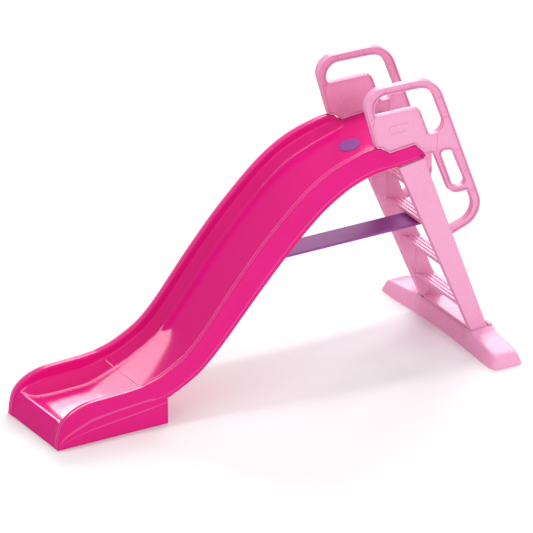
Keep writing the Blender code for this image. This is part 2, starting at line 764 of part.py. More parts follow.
def handrail(side):
    """Web, edge flanges, plate, chute tab and ladder lug of one handrail."""
    word = "left" if side < 0 else "right"
    middle = (RAIL_INNER + RAIL_OUTER) / 2
    blank = prism_mesh("handrail_" + word, rounded(RAIL_OUTLINE), RAIL_INNER, RAIL_OUTER)
    part = place("handrail_" + word, mirrored(blank, side), FRAME_PLASTIC)
    cuts = []
    for face in (-1, 1):
        title = f"{word}_{'inside' if face < 0 else 'outside'}"
        shallow = sorted((middle + face * PLATE_THICK / 2, middle + face * 0.030))
        deep = sorted((middle + face * RAIL_WEB / 2, middle + face * 0.040))
        cuts.append(pocket("shallow_" + title, RAIL_FLANGE, *shallow, side, []))
        plate = [("plate", PLATE_OUTLINE)]
        cuts.append(pocket("deep_" + title, RAIL_FLANGE + 0.0005, *deep, side, plate))
    for title, outline in (("window", WINDOW_OUTLINE), ("oval", OVAL_OUTLINE)):
        name = f"{title}_{word}"
        cuts.append(helper(name, mirrored(prism_mesh(name, rounded(outline), 0.120, 0.220), side)))
    combine(part, cuts, "DIFFERENCE", "MANIFOLD")
    fittings = [
        ("tab", prism_mesh("tab", tab_outline(), *RAIL_TAB_Y)),
        ("lug", prism_mesh("lug", rounded(LUG_OUTLINE), LUG_INNER, LUG_OUTER)),
        ("hook_tongue", prism_mesh("hook_tongue", HOOK_TONGUE, *HOOK_TONGUE_Y)),
    ]
    added = [helper(f"{title}_{word}", mirrored(mesh, side)) for title, mesh in fittings]
    combine(part, added, "UNION", "MANIFOLD")
    holes = [y_hole(f"tab_hole_{word}", sum(RAIL_TAB_X) / 2, RAIL_SCREW_Z, 0.150, 0.180, side)]
    for i, (x, z) in enumerate(LUG_SCREWS, 1):
        holes.append(y_hole(f"lug_hole_{word}_{i}", x, z, 0.145, 0.165, side))
    combine(part, holes, "DIFFERENCE", "MANIFOLD")


def tab_outline():
    x0, x1 = RAIL_TAB_X
    return [(x0, RAIL_TAB_BOTTOM), (x1, RAIL_TAB_BOTTOM), (x1, 0.890), (x0, 0.890)]


def foot_bar():
    """An open-bottomed bar with rounded, sloping ends and two sockets for the stiles."""
    bm = bmesh.new()
    rows = []
    mirrored_rows = [(-s[0], *s[1:]) for s in BAR_SECTIONS[:0:-1]]
    for y, x0, x1, x2, x3, top in mirrored_rows + BAR_SECTIONS:
        soft = 0.006
        if top == 0:
            line = (x0, x0 + 0.003, x1, x1 + soft, x2 - soft, x2, x3 - 0.003, x3)
            points = [(x, 0) for x in line]
        else:
            points = [
                (x0, 0),
                (x0 + (x1 - x0) * 0.45, top * 0.5),
                (x1, top - soft),
                (x1 + soft, top),
                (x2 - soft, top),
                (x2, top - soft),
                (x3 - (x3 - x2) * 0.45, top * 0.5),
                (x3, 0),
            ]
        rows.append([bm.verts.new((x, y, z)) for x, z in points])
    for row, beyond in zip(rows, rows[1:]):
        for j in range(len(row) - 1):
            bm.faces.new((row[j], row[j + 1], beyond[j + 1], beyond[j]))
    mesh = bpy.data.meshes.new("base_bar")
    bm.to_mesh(mesh)
    bm.free()
    part = shell("base_bar", mesh, FRAME_PLASTIC)
    wells = []
    cuts = []
    for side in (-1, 1):
        word = "left" if side < 0 else "right"
        inner, outer = sorted((side * SOCKET_Y[0], side * SOCKET_Y[1]))
        low = (SOCKET_X[0] - WALL, inner - WALL, SOCKET_FLOOR)
        high = (SOCKET_X[1] + WALL, outer + WALL, 0.0572)
        wells.append(helper("well_" + word, box_mesh("well_" + word, low, high)))
        name = f"collar_{word}"
        wells.append(helper(name, prism_mesh(name, rounded(REAR_COLLAR), inner, outer)))
        low = (SOCKET_X[0], inner, SOCKET_FLOOR + WALL)
        high = (SOCKET_X[1], outer, 0.070)
        cuts.append(helper("well_inside_" + word, box_mesh("well_inside_" + word, low, high)))
        inner, outer = sorted((side * MOUTH_INNER, side * SOCKET_Y[1]))
        low = (MOUTH_X[0], inner, MOUTH_LEVELS[0])
        high = (MOUTH_X[1], outer, MOUTH_LEVELS[1])
        cuts.append(helper("well_mouth_" + word, box_mesh("well_mouth_" + word, low, high)))
        for i, x in enumerate(BASE_SCREW_X, 1):
            middle = side * (STILE_INNER + STILE_OUTER) / 2
            cuts.append(z_hole(f"well_hole_{word}_{i}", x, middle, 0.015, 0.040))
    combine(part, wells, "UNION")
    ground = box_mesh("bar_ground", (1.700, -0.440, -0.020), (1.900, 0.440, 0.0))
    cuts.append(helper("bar_ground", ground))
    combine(part, cuts, "DIFFERENCE")


def brace():
    """A flat board with turned-down edges, open underneath."""
    low = (BRACE_START, -BRACE_HALF_WIDTH, BRACE_TOP - BRACE_THICK)
    high = (BRACE_END, BRACE_HALF_WIDTH, BRACE_TOP)
    part = place("brace_board", box_mesh("brace_board", low, high), TRIM_PLASTIC)
    low = (BRACE_START + WALL, -BRACE_HALF_WIDTH + WALL, BRACE_TOP - BRACE_THICK - 0.002)
    high = (BRACE_END - WALL, BRACE_HALF_WIDTH - WALL, BRACE_TOP - WALL)
    cuts = [helper("brace_hollow", box_mesh("brace_hollow", low, high))]
    for side in (-1, 1):
        word = "left" if side < 0 else "right"
        for end, x in (("chute", SADDLE_SCREW_X), ("ladder", TREAD_SCREW_X)):
            cuts.append(z_hole(f"brace_hole_{end}_{word}", x, side * BRACE_SCREW_Y, 0.470, 0.495))
    combine(part, cuts, "DIFFERENCE")


def fasteners():
    seam_bolts()
    up = (0, 0, 1)
    board = BRACE_TOP - WALL - GAP
    for side in (-1, 1):
        word = "left" if side < 0 else "right"
        out = (0, side, 0)
        screw(f"brace_screw_chute_{word}", (SADDLE_SCREW_X, side * BRACE_SCREW_Y, board), up, 0.012)
        screw(f"brace_screw_ladder_{word}", (TREAD_SCREW_X, side * BRACE_SCREW_Y, board), up, 0.020)
        tab_x = sum(RAIL_TAB_X) / 2
        screw(f"handrail_screw_chute_{word}", (tab_x, side * (RAIL_TAB_Y[0] - GAP), RAIL_SCREW_Z), out, 0.0195)
        for i, (x, z) in enumerate(LUG_SCREWS, 1):
            screw(f"handrail_screw_ladder_{word}_{i}", (x, side * (LUG_INNER - GAP), z), out, 0.030)
        for i, x in enumerate(LADDER_SCREW_X, 1):
            seat = (x, side * (TONGUE_Y[0] - GAP), LADDER_SCREW_Z)
            screw(f"ladder_screw_chute_{word}_{i}", seat, out, 0.0205)
        middle = side * (STILE_INNER + STILE_OUTER) / 2
        for i, x in enumerate(BASE_SCREW_X, 1):
            screw(f"base_screw_{word}_{i}", (x, middle, SOCKET_FLOOR - GAP), up, 0.024)


def main():
    chute_lower()
    chute_upper()
    port_pieces()
    ladder()
    for side in (-1, 1):
        handrail(side)
    foot_bar()
    brace()
    fasteners()
    bpy.context.view_layer.update()


main()
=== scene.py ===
"""Looks of the toddler slide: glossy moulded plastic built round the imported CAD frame.

Lengths are in metres. Shapes are drawn in slide coordinates: X from the toe of the run-out towards the
ladder, Y across, Z up. TOE moves them into the frame, whose origin is under the middle of the object.
"""

import math

import bmesh
import bpy
import numpy as np
from mathutils import Matrix, Vector


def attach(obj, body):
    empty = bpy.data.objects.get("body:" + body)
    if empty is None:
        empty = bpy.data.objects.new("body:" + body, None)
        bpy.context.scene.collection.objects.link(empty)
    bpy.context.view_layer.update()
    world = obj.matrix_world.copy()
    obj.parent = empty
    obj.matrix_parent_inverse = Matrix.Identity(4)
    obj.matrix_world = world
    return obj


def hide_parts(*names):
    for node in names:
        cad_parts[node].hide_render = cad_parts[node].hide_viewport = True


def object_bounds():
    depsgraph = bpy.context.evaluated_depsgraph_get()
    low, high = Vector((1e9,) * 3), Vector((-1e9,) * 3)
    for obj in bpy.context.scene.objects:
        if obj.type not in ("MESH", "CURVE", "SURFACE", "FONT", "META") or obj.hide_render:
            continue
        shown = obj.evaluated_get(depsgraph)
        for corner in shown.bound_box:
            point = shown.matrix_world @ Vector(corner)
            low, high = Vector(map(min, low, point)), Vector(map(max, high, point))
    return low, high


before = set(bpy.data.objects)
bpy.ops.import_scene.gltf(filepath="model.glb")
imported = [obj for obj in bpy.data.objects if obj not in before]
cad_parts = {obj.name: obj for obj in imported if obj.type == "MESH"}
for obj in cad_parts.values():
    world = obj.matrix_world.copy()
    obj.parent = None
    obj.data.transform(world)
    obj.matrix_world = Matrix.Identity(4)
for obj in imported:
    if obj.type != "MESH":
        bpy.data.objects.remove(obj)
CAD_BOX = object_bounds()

TOE = CAD_BOX[0].x
BODY = "slide_frame"
SIDES = ((-1, "left"), (1, "right"))

# Chute: (rim x, rim z, floor x, floor z, lower edge x, lower edge z) at each station
RUN_OUT = [
    (0.000, 0.000, 0.001, 0.002, 0.001, 0.000),
    (0.004, 0.045, 0.016, 0.048, 0.014, 0.000),
    (0.016, 0.088, 0.035, 0.086, 0.030, 0.000),
    (0.040, 0.118, 0.058, 0.080, 0.054, 0.000),
    (0.070, 0.138, 0.085, 0.072, 0.084, 0.000),
    (0.108, 0.152, 0.118, 0.069, 0.120, 0.000),
    (0.150, 0.160, 0.155, 0.068, 0.165, 0.000),
    (0.230, 0.163, 0.235, 0.069, 0.260, 0.000),
    (0.300, 0.165, 0.312, 0.074, 0.360, 0.000),
    (0.365, 0.171, 0.416, 0.110, 0.467, 0.000),
]
SLOPE = [
    (0.365, 0.171, 0.416, 0.110, 0.427, 0.098),
    (0.440, 0.192, 0.464, 0.128, 0.473, 0.105),
    (0.520, 0.232, 0.555, 0.176, 0.570, 0.153),
    (0.566, 0.265, 0.608, 0.216, 0.627, 0.193),
    (0.620, 0.319, 0.668, 0.279, 0.694, 0.257),
    (0.700, 0.416, 0.748, 0.377, 0.780, 0.352),
    (0.760, 0.489, 0.808, 0.450, 0.843, 0.421),
    (0.860, 0.602, 0.905, 0.559, 0.941, 0.526),
    (0.957, 0.698, 0.999, 0.653, 1.033, 0.617),
    (1.043, 0.775, 1.083, 0.727, 1.115, 0.689),
    (1.120, 0.829, 1.151, 0.775, 1.175, 0.731),
    (1.200, 0.868, 1.221, 0.805, 1.238, 0.766),
    (1.275, 0.890, 1.288, 0.829, 1.297, 0.789),
    (1.345, 0.904, 1.352, 0.848, 1.352, 0.804),
    (1.383, 0.897, 1.388, 0.857, 1.388, 0.808),
    (1.413, 0.873, 1.416, 0.861, 1.416, 0.811),
    (1.460, 0.877, 1.462, 0.863, 1.460, 0.814),
    (1.521, 0.881, 1.521, 0.864, 1.526, 0.822),
    (1.550, 0.851, 1.557, 0.858, 1.553, 0.827),
    (1.565, 0.837, 1.568, 0.835, 1.566, 0.828),
]
CHUTE_WALL = 0.004
CHUTE_HALF = 0.187
STEPS_PER_STATION = 3
SEAM_RIM = Vector((0.365, 0, 0.171))
SEAM_FLOOR = Vector((0.416, 0, 0.110))
SEAM_GAP = 0.0003
SEAM_GAP_FLOOR = 0.0014
BLOCK_REAR = 0.467
BLOCK_TOP = 0.0990
BLOCK_SEAM_FOOT = (0.427, 0.097)
FLANGE_HALF = 0.104
FLANGE_DEPTH = 0.030
SIDE_SCREWS = ((1.431, 0.8385), (1.484, 0.836), (1.528, 0.836))
SIDE_BOSS_Y = 0.1785
PORT_POINT = Vector((1.352, 0, 0.8484))
PORT_AXIS = Vector((math.sin(math.radians(-15)), 0, math.cos(math.radians(-15))))
PORT_SEAT = 0.042
PORT_BORE = 0.029
CAP_SIDES = 72

# Handrails: (x, z, corner radius)
RAIL = [
    (1.3600, 0.9062, 0.004), (1.2915, 1.1459, 0.064), (1.6130, 1.1392, 0.120), (1.8308, 0.5318, 0.088),
    (1.6865, 0.4815, 0.003), (1.6765, 0.5095, 0.003), (1.7937, 0.5460, 0.063), (1.7560, 0.6470, 0.006),
    (1.6790, 0.6465, 0.045), (1.6080, 0.8300, 0.006), (1.5745, 0.8300, 0.001), (1.5225, 0.8842, 0.004),
    (1.4140, 0.8745, 0.004), (1.3840, 0.8988, 0.003),
]
WINDOW = [
    (1.3535, 1.0345, 0.014), (1.3303, 1.1145, 0.048), (1.5900, 1.1070, 0.085),
    (1.6640, 0.9113, 0.037), (1.5835, 0.9113, 0.012), (1.5397, 1.0312, 0.030),
]
OVAL = [
    (1.6315, 0.8310, 0.012), (1.6870, 0.8290, 0.045), (1.7510, 0.6715, 0.016), (1.6890, 0.6715, 0.034),
]
PLATE = [
    (1.3660, 0.9085, 0.004), (1.3440, 0.9850, 0.030), (1.3540, 1.0360, 0.012), (1.5400, 1.0330, 0.028),
    (1.5770, 0.9270, 0.030), (1.5560, 0.8565, 0.006), (1.5225, 0.8885, 0.004), (1.4150, 0.8785, 0.004),
    (1.3850, 0.9025, 0.003),
]
LUG = [
    (1.5755, 0.8620, 0.004), (1.6080, 0.8620, 0.008), (1.6110, 0.7600, 0.024), (1.5500, 0.7430, 0.014),
    (1.5420, 0.8130, 0.004), (1.5745, 0.8130, 0.001),
]
HOOK_TONGUE = [
    (1.6640, 0.5020, 0.001), (1.6820, 0.5070, 0.001), (1.6910, 0.4870, 0.001), (1.6720, 0.4790, 0.001),
]
RAIL_Y = (0.160, 0.188)
RAIL_FLANGE = 0.0042
RAIL_WEB = 0.009
RIB_HALF = 0.0068
PLATE_THICK = 0.015
RIB_WIDTH = 0.0022
LUG_Y = (0.1500, 0.1625)
HOOK_Y = (0.1690, 0.1800)
RAIL_TAB = ((1.417, 0.1650, 0.829), (1.445, 0.1770, 0.890))
# Cross ribs of the rail: two points each, on the inner and the outer edge of the bar
RAIL_RIBS = [
    ((1.5120, 1.1080), (1.5140, 1.1430)), ((1.4000, 1.1120), (1.4030, 1.1450)),
    ((1.3540, 1.0890), (1.3270, 1.1090)), ((1.3500, 1.0300), (1.3250, 1.0040)),
    ((1.6130, 1.0440), (1.6480, 1.0500)), ((1.6500, 0.9605), (1.6780, 0.9605)),
    ((1.6960, 0.8120), (1.7240, 0.8180)), ((1.7330, 0.7190), (1.7610, 0.7250)),
    ((1.7630, 0.6330), (1.7900, 0.6390)), ((1.7660, 0.5440), (1.7830, 0.5260)),
    ((1.6380, 0.7600), (1.6520, 0.7650)), ((1.6590, 0.7010), (1.6700, 0.7070)),
    ((1.6235, 0.9120), (1.6235, 0.8300)),
]

# Ladder
STILE_Y = (0.163, 0.193)
STILE = [
    (1.4525, 0.8060, 0.003), (1.5615, 0.8205, 0.003), (1.8396, 0.0606, 0.001),
    (1.8375, 0.0310, 0.001), (1.7805, 0.0310, 0.001), (1.7790, 0.0606, 0.001), (1.7695, 0.0606, 0.002),
]
STILE_POCKET = [
    (1.5060, 0.7300, 0.004), (1.7200, 0.7300, 0.004), (1.9500, 0.0900, 0.004), (1.7615, 0.0900, 0.004),
]
REAR_LINE = (1.5860, 0.7520, 0.368)
TREADS = (0.172, 0.342, 0.512, 0.682)
BAY_FEET = (0.066, 0.170, 0.340, 0.510)
BAY_LEVELS = (0.002, 0.172, 0.342, 0.512)
TREAD_DEPTH = 0.063
TREAD_PLATE = 0.005
TREAD_FRONT_LIP = 0.012
TREAD_REAR_LIP = 0.021
TREAD_GROOVES = 3
WEB_REACH = 0.028
WEB_FLARE = 0.016
WEB_FLARE_HEIGHT = 0.030
TONGUE_X = (1.466, 1.546)
TONGUE_Y = (0.164, 0.178)
TONGUE_Z = (0.780, 0.846)
BRACE_TOP = 0.490
BRACE_X = (0.903, 1.655)
BRACE_HALF = 0.054
BRACE_THICK = 0.010
BRACE_BORE = 0.0030
SADDLE_X = (0.900, 0.960)
SADDLE_FLOOR = (0.5503, 0.6103)
SADDLE_LIP = 0.0019
BRACE_SCREW_Y = 0.030
CHUTE_SCREW_X = 0.930
TREAD_SCREW_X = 1.640

# Foot bar: (y, front bottom x, front top x, rear top x, rear bottom x, top z)
BAR = [
    (0.000, 1.7470, 1.7730, 1.8560, 1.8679, 0.0597),
    (0.060, 1.7460, 1.7725, 1.8560, 1.8679, 0.0597),
    (0.120, 1.7440, 1.7715, 1.8560, 1.8679, 0.0597),
    (0.142, 1.7430, 1.7705, 1.8560, 1.8679, 0.0597),
    (0.153, 1.7420, 1.7670, 1.8575, 1.8679, 0.0600),
    (0.167, 1.7410, 1.7620, 1.8600, 1.8679, 0.0690),
    (0.186, 1.7400, 1.7600, 1.8600, 1.8679, 0.0700),
    (0.203, 1.7390, 1.7600, 1.8600, 1.8679, 0.0690),
    (0.214, 1.7380, 1.7590, 1.8580, 1.8679, 0.0640),
    (0.235, 1.7365, 1.7575, 1.8560, 1.8679, 0.0580),
    (0.265, 1.7345, 1.7550, 1.8550, 1.8679, 0.0535),
    (0.330, 1.7305, 1.7500, 1.8540, 1.8675, 0.0510),
    (0.375, 1.7300, 1.7470, 1.8510, 1.8655, 0.0470),
    (0.400, 1.7325, 1.7500, 1.8440, 1.8610, 0.0390),
    (0.413, 1.7400, 1.7580, 1.8340, 1.8520, 0.0200),
    (0.4168, 1.7440, 1.7620, 1.8300, 1.8480, 0.0010),
]
SOCKET_X = (1.7770, 1.8425)
SOCKET_Y = (0.1615, 0.1945)
MOUTH_X = (1.7656, 1.8432)
MOUTH_INNER = 0.148
BOTTOM_RAIL = (1.7705, 1.842)
FRONT_COLLAR = [
    (1.7605, 0.0440, 0.001), (1.7585, 0.0645, 0.003), (1.7655, 0.0645, 0.002), (1.7690, 0.0440, 0.001),
]
REAR_COLLAR = [
    (1.8445, 0.0500, 0.002), (1.8425, 0.0785, 0.004), (1.8560, 0.0785, 0.008), (1.8662, 0.0500, 0.002),
]
BAR_WALL = 0.0038

# Shared by several pieces
GAP = 0.0003
BOSS = 0.0075
FRAME_WALL = 0.004
# Name of the vertex attribute that marks where a highlight is painted on the chute
HIGHLIGHT_LINE = "painted_highlight_line"

# Linear colours
MAGENTA = (0.850, 0.010, 0.258)
# Pale pink painted on edges and rim lines as a highlight
HIGHLIGHT_PAINT = (1.000, 0.420, 0.700)
MAGENTA_DEEP = (0.760, 0.006, 0.205)
PINK = (0.910, 0.410, 0.630)
PINK_DEEP = (0.890, 0.370, 0.600)
PURPLE = (0.330, 0.095, 0.390)
PURPLE_DEEP = (0.290, 0.080, 0.350)
STEEL = (0.560, 0.560, 0.570)
STEEL_DEEP = (0.480, 0.480, 0.490)


# ---------------------------------------------------------------- materials

def link(tree, start, start_name, end, end_name):
    tree.links.new(start.outputs[start_name], end.inputs[end_name])


def noise(tree, coords, scale, detail, stretch=None):
    """Noise in the object's own coordinates, which stretch scales axis by axis."""
    source = coords.outputs["Object"]
    if stretch:
        mapping = tree.nodes.new("ShaderNodeMapping")
        mapping.inputs["Scale"].default_value = stretch
        link(tree, coords, "Object", mapping, "Vector")
        source = mapping.outputs["Vector"]
    node = tree.nodes.new("ShaderNodeTexNoise")
    node.inputs["Scale"].default_value = scale
    node.inputs["Detail"].default_value = detail
    tree.links.new(source, node.inputs["Vector"])
    return node


def moulded(name, colour, deep, roughness, spread, grain, metallic=0.0, gleam=0.5, scuff=None,
            highlight_strength=0.0, edge=(0.53, 0.60), mark=None):
    """A moulded surface: slow colour drift, cloudy gloss, a fine grain and a painted highlight along edges.

    The highlight strength says how pale the painted highlight gets: on the mesh's own sharp edges, or along
    the lines of the mark attribute.
    """
    material = bpy.data.materials.new(name)
    material.use_nodes = True
    tree = material.node_tree
    shader = tree.nodes["Principled BSDF"]
    shader.inputs["Metallic"].default_value = metallic
    shader.inputs["Specular IOR Level"].default_value = gleam
    coords = tree.nodes.new("ShaderNodeTexCoord")

    drift = tree.nodes.new("ShaderNodeMix")
    drift.data_type = "RGBA"
    drift.inputs["A"].default_value = (*colour, 1)
    drift.inputs["B"].default_value = (*deep, 1)
    link(tree, noise(tree, coords, 5.0, 4.0), "Fac", drift, "Factor")
    if mark:
        shape = tree.nodes.new("ShaderNodeAttribute")
        shape.attribute_name = mark
        sharpness = shape.outputs["Fac"]
    else:
        shape = tree.nodes.new("ShaderNodeNewGeometry")
        sharpness = shape.outputs["Pointiness"]
    # Painted highlight: a pale colour mixed in on sharp or marked edges, standing in for the light they catch
    highlight_mask = tree.nodes.new("ShaderNodeMapRange")
    highlight_mask.inputs["From Min"].default_value = edge[0]
    highlight_mask.inputs["From Max"].default_value = edge[1]
    highlight_mask.inputs["To Max"].default_value = highlight_strength
    tree.links.new(sharpness, highlight_mask.inputs["Value"])
    highlighted = tree.nodes.new("ShaderNodeMix")
    highlighted.data_type = "RGBA"
    highlighted.inputs["B"].default_value = (*HIGHLIGHT_PAINT, 1)
    tree.links.new(highlight_mask.outputs["Result"], highlighted.inputs["Factor"])
    tree.links.new(drift.outputs["Result"], highlighted.inputs["A"])
    tree.links.new(highlighted.outputs["Result"], shader.inputs["Base Color"])

    gloss = tree.nodes.new("ShaderNodeMapRange")
    gloss.inputs["To Min"].default_value = roughness
    gloss.inputs["To Max"].default_value = roughness + spread
    clouds = noise(tree, coords, 18.0, 5.0, scuff)
    link(tree, clouds, "Fac", gloss, "Value")
    tree.links.new(gloss.outputs["Result"], shader.inputs["Roughness"])

    bump = tree.nodes.new("ShaderNodeBump")
    bump.inputs["Strength"].default_value = grain
    bump.inputs["Distance"].default_value = 0.0004
    link(tree, noise(tree, coords, 700.0, 2.0), "Fac", bump, "Height")
    link(tree, bump, "Normal", shader, "Normal")
    return material


# The chute has a painted highlight along the rows marked in its vertex attribute, on the rim's edges and the
# skirt's creases
CHUTE_PLASTIC = moulded("gloss_magenta", MAGENTA, MAGENTA_DEEP, 0.11, 0.08, 0.02,
                        scuff=(0.4, 3.0, 0.4), highlight_strength=0.65, edge=(0.6, 1.0), mark=HIGHLIGHT_LINE)
# The pink frame has a fainter painted highlight on its sharp edges, found by pointiness
FRAME_PLASTIC = moulded("satin_pink", PINK, PINK_DEEP, 0.22, 0.10, 0.04, gleam=0.3, highlight_strength=0.25)
TRIM_PLASTIC = moulded("satin_purple", PURPLE, PURPLE_DEEP, 0.48, 0.10, 0.06, gleam=0.2)
SCREW_STEEL = moulded("zinc_plate", STEEL, STEEL_DEEP, 0.28, 0.20, 0.10, metallic=1.0)


# ---------------------------------------------------------------- mesh helpers

def loop_points(corners, step=9):
    """The closed outline through (x, z, radius) corners, each an arc with a point every step degrees."""
    points = []
    count = len(corners)
    for i, (x, z, radius) in enumerate(corners):
        corner = Vector((x, z))
        back = Vector(corners[i - 1][:2]) - corner
        ahead = Vector(corners[(i + 1) % count][:2]) - corner
        half = back.angle(ahead) / 2
        sweep = math.pi - 2 * half
        centre = corner + (back.normalized() + ahead.normalized()).normalized() * radius / math.sin(half)
        start = corner + back.normalized() * radius / math.tan(half) - centre
        sign = 1 if back.x * ahead.y - back.y * ahead.x < 0 else -1
        steps = max(1, round(math.degrees(sweep) / step))
        for k in range(steps + 1):
            points.append(centre + Matrix.Rotation(sign * sweep * k / steps, 2) @ start)
    return [(p.x, p.y) for p in points]


def inset(corners, distance):
    """The corners moved inward (outward when negative); corners run clockwise."""
    count = len(corners)
    moved = []
    for i, (x, z, radius) in enumerate(corners):
        corner = Vector((x, z))
        before = (corner - Vector(corners[i - 1][:2])).normalized()
        after = (Vector(corners[(i + 1) % count][:2]) - corner).normalized()
        normal_before = Vector((before.y, -before.x))
        normal_after = Vector((after.y, -after.x))
        bisector = (normal_before + normal_after).normalized()
        point = corner + bisector * distance / bisector.dot(normal_after)
        hollow = before.x * after.y - before.y * after.x > 0
        moved.append((point.x, point.y, max(0.0004, radius + (distance if hollow else -distance))))
    return moved


def clockwise(corners):
    turning = sum(a[0] * b[1] - b[0] * a[1] for a, b in zip(corners, corners[1:] + corners[:1]))
    return corners if turning < 0 else corners[::-1]


def bridge(bm, rings):
    """Faces between each closed ring of vertices and the next."""
    for lower, upper in zip(rings, rings[1:]):
        for j in range(len(lower)):
            bm.faces.new((lower[j - 1], lower[j], upper[j], upper[j - 1]))


def slab(outer, holes, y_low, y_high, edge=0.0, rounds=3, step=9):
    """A flat solid with rounded edges, drawn in XZ and carried from y_low to y_high."""
    bm = bmesh.new()
    layers = [(y_low, 0.0), (y_high, 0.0)]
    if edge:
        turns = [k * math.pi / 2 / rounds for k in range(rounds + 1)]
        layers = [(y_low + edge * (1 - math.cos(t)), edge * (1 - math.sin(t))) for t in turns]
        layers += [(y_high - edge * (1 - math.cos(t)), edge * (1 - math.sin(t))) for t in turns[::-1]]
    caps = ([], [])
    for corners, sign in [(clockwise(outer), 1)] + [(clockwise(hole), -1) for hole in holes]:
        rings = []
        for y, inward in layers:
            ring = loop_points(inset(corners, sign * inward), step)
            rings.append([bm.verts.new((x, y, z)) for x, z in ring])
        bridge(bm, rings)
        for cap, ring in zip(caps, (rings[0], rings[-1])):
            cap += [bm.edges.get((ring[j - 1], ring[j])) for j in range(len(ring))]
    for cap in caps:
        bmesh.ops.triangle_fill(bm, edges=cap, use_beauty=True)
    bmesh.ops.recalc_face_normals(bm, faces=bm.faces)
    return bm


def block(low, high, edge=0.001, segments=2):
    """A box between two corners with rounded edges."""
    bm = bmesh.new()
    bmesh.ops.create_cube(bm, size=1)
    bmesh.ops.scale(bm, vec=Vector(high) - Vector(low), verts=bm.verts)
    bmesh.ops.translate(bm, vec=(Vector(high) + Vector(low)) / 2, verts=bm.verts)
    if edge:
        bmesh.ops.bevel(bm, geom=bm.edges[:], offset=edge, segments=segments, profile=0.5, affect="EDGES")
    return bm


def rod(base, axis, radius, height, sides=28):
    """A short round bar that starts at base and runs along axis."""
    bm = bmesh.new()
    turn = Vector((0, 0, 1)).rotation_difference(Vector(axis)).to_matrix().to_4x4()
    shift = Matrix.Translation(Vector(base)) @ turn @ Matrix.Translation((0, 0, height / 2))
    bmesh.ops.create_cone(
        bm, cap_ends=True, segments=sides, radius1=radius, radius2=radius, depth=height, matrix=shift
    )
    return bm


def mirror(bm, side):
    """Puts a shape drawn for the right side on the left when side is negative."""
    if side < 0:
        bmesh.ops.scale(bm, vec=(1, -1, 1), verts=bm.verts)
        bmesh.ops.reverse_faces(bm, faces=bm.faces)
    return bm


def from_mesh(mesh):
    bm = bmesh.new()
    bm.from_mesh(mesh)
    return bm


def loose(bm, name="loose"):
    mesh = bpy.data.meshes.new(name)
    bm.to_mesh(mesh)
    bm.free()
    item = bpy.data.objects.new(name, mesh)
    bpy.context.scene.collection.objects.link(item)
    return item


def thicken(skin, levels, wall):
    """Smooths an open skin and gives it a wall behind it."""
    smooth = skin.modifiers.new("smooth", "SUBSURF")
    smooth.levels = smooth.render_levels = levels
    thick = skin.modifiers.new("wall", "SOLIDIFY")
    thick.thickness = wall
    thick.offset = -1
    thick.use_even_offset = True
    return skin


def fuse(base, added, cut=(), within=(), solver="MANIFOLD"):
    """The mesh of base with shapes joined to it, others taken away and the rest kept within a region."""
    target = base if isinstance(base, bpy.types.Object) else loose(base)
    helpers = []
    for shapes, operation in ((added, "UNION"), (cut, "DIFFERENCE"), (within, "INTERSECT")):
        for shape in shapes:
            helper = loose(shape)
            helpers.append(helper)
            step = target.modifiers.new(operation.lower(), "BOOLEAN")
            step.operation = operation
            step.object = helper
            step.solver = solver
    bpy.context.view_layer.update()
    graph = bpy.context.evaluated_depsgraph_get()
    mesh = bpy.data.meshes.new_from_object(target.evaluated_get(graph))
    for item in [*helpers, target]:
        bpy.data.objects.remove(item, do_unlink=True)
    return mesh


def on_ground(mesh):
    """The mesh with whatever passes the ground or the toe's front plane brought back to it."""
    for vertex in mesh.vertices:
        vertex.co.z = max(vertex.co.z, 0.0)
        vertex.co.x = max(vertex.co.x, 0.0)
    return mesh


def show(name, mesh, material, nodes, body=BODY, sharp=38, flatten=True):
    """A visible piece in the frame's own coordinates that stands for CAD nodes."""
    mesh.transform(Matrix.Translation((TOE, 0, 0)))
    mesh.materials.clear()
    mesh.materials.append(material)
    mesh.polygons.foreach_set("material_index", [0] * len(mesh.polygons))
    mesh.shade_smooth()
    mesh.set_sharp_from_angle(angle=math.radians(sharp))
    piece = bpy.data.objects.new(name, mesh)
    bpy.context.scene.collection.objects.link(piece)
    if flatten:
        level = piece.modifiers.new("level", "WEIGHTED_NORMAL")
        level.keep_sharp = True
        level.weight = 80
    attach(piece, body)
    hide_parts(*nodes)
    return piece


# ---------------------------------------------------------------- chute

def curve_through(stations, steps):
    """Rows on a smooth curve through the stations, this many steps from each to the next."""
    table = np.array(stations)
    table = np.vstack([2 * table[0] - table[1], table, 2 * table[-1] - table[-2]])
    rows = []
    for i in range(1, len(table) - 2):
        a, b, c, d = table[i - 1 : i + 3]
        for k in range(steps):
            t = k / steps
            cubic = (-a + 3 * b - 3 * c + d) * t**3
            square = (2 * a - 5 * b + 4 * c - d) * t**2
            rows.append(0.5 * (2 * b + (c - a) * t + square + cubic))
    rows.append(table[-2])
    return rows


def towards(start, end, distance):
    """The point this far from start on the way to end, and never quite at end."""
    run = end - start
    length = np.linalg.norm(run)
    return start + run * min(0.96, distance / length) if length > 1e-6 else start


# How strongly a highlight is painted on rows of the chute's half section: both edges of the rim, creases of
# the skirt
RIM_HIGHLIGHTS = {11: 1.0, 13: 0.9}
SKIRT_HIGHLIGHTS = {2: 0.75, 4: 0.75}


